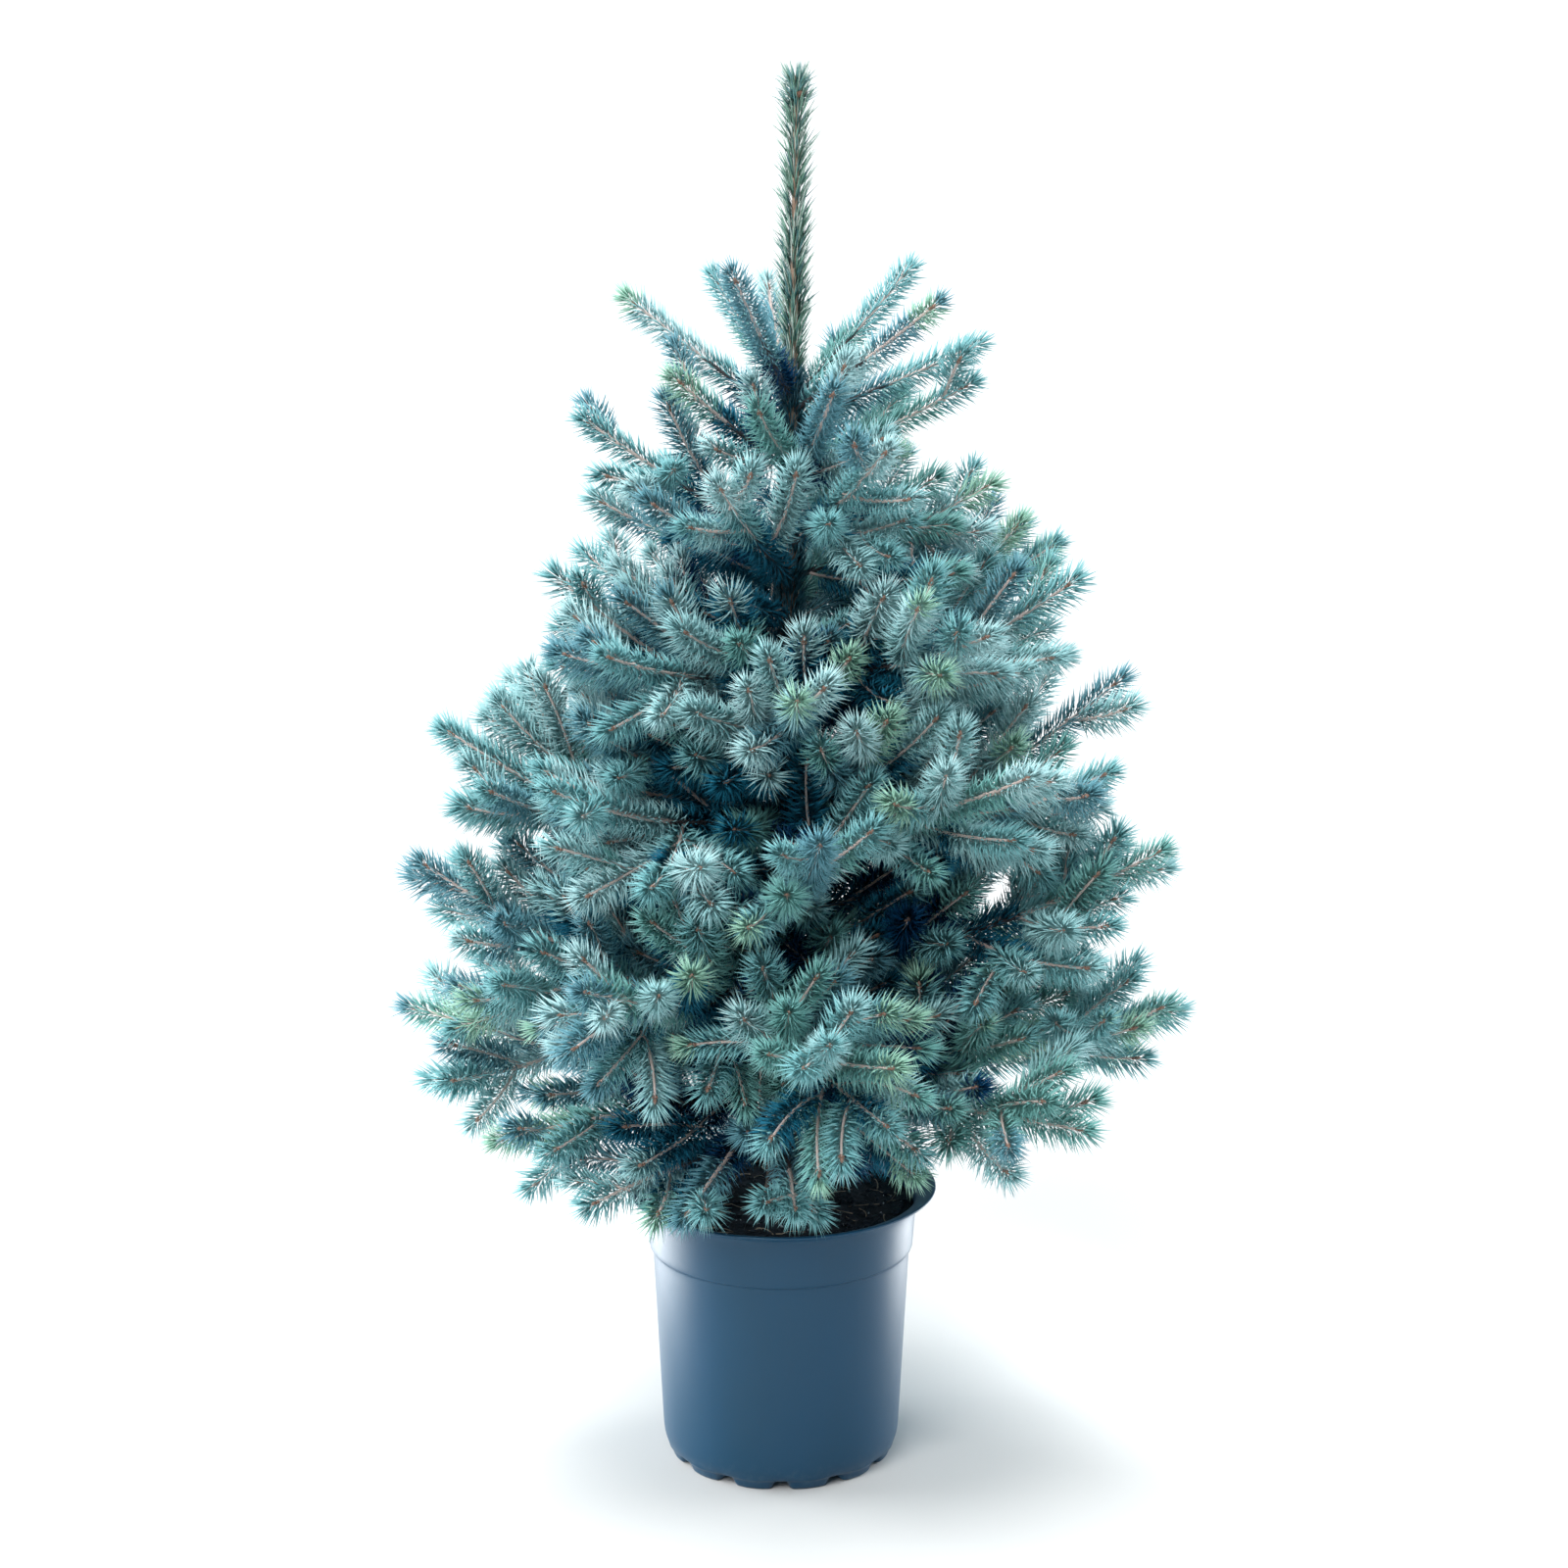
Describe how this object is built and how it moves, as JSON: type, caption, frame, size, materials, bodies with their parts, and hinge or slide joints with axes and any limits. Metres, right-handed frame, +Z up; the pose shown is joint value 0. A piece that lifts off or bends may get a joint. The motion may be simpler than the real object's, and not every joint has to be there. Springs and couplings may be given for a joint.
{
  "type": "potted blue spruce",
  "caption": "Young blue spruce with an upright leader and tiers of needled boughs, rooted in soil in a round plastic nursery pot with a flared lip.",
  "frame": {"origin": "centre of the flat pad under the pot, on the surface that the pot stands on", "axes": "+Z up along the trunk, +X to the viewer's right, -Y towards the viewer"},
  "size_m": [0.6708, 0.5902, 1.2055],
  "materials": {
    "pot_plastic": "moulded slate-blue plastic, soft sheen",
    "soil": "dark damp potting soil",
    "bark": "grey-brown scaly bark, orange-tan on young shoots",
    "needles": "blue-green waxy needles"
  },
  "bodies": {
    "root": {"pot": "pot_plastic", "soil": "soil", "trunk": "bark", "low_bough_1": "bark", "low_bough_2": "bark", "low_bough_3": "bark", "low_bough_4": "bark", "low_bough_5": "bark", "low_bough_6": "bark", "leader_needles": "needles", "top_shoot_1": "needles", "top_shoot_2": "needles", "top_shoot_3": "needles", "top_shoot_4": "needles", "top_shoot_5": "needles", "top_shoot_6": "needles", "top_shoot_7": "needles", "upper_shoot_1": "needles", "upper_shoot_2": "needles", "upper_shoot_3": "needles", "upper_shoot_4": "needles", "high_spray_1": "needles", "high_spray_2": "needles", "high_spray_3": "needles", "high_spray_4": "needles", "high_spray_5": "needles", "high_spray_6": "needles", "middle_spray_1": "needles", "middle_spray_2": "needles", "middle_spray_3": "needles", "middle_spray_4": "needles", "middle_spray_5": "needles", "middle_spray_6": "needles", "middle_spray_7": "needles", "middle_spray_8": "needles", "broad_spray_1": "needles", "broad_spray_2": "needles", "broad_spray_3": "needles", "broad_spray_4": "needles", "broad_spray_5": "needles", "broad_spray_6": "needles", "broad_spray_7": "needles", "broad_spray_8": "needles", "broad_spray_9": "needles", "low_spray_1": "needles", "low_spray_2": "needles", "low_spray_3": "needles", "low_spray_4": "needles", "low_spray_5": "needles", "low_spray_6": "needles", "skirt_spray_1": "needles", "skirt_spray_2": "needles", "skirt_spray_3": "needles", "skirt_spray_4": "needles", "skirt_spray_5": "needles", "skirt_spray_6": "needles", "skirt_spray_7": "needles", "skirt_spray_8": "needles", "skirt_spray_9": "needles", "skirt_spray_10": "needles"}
  },
  "joints": []
}
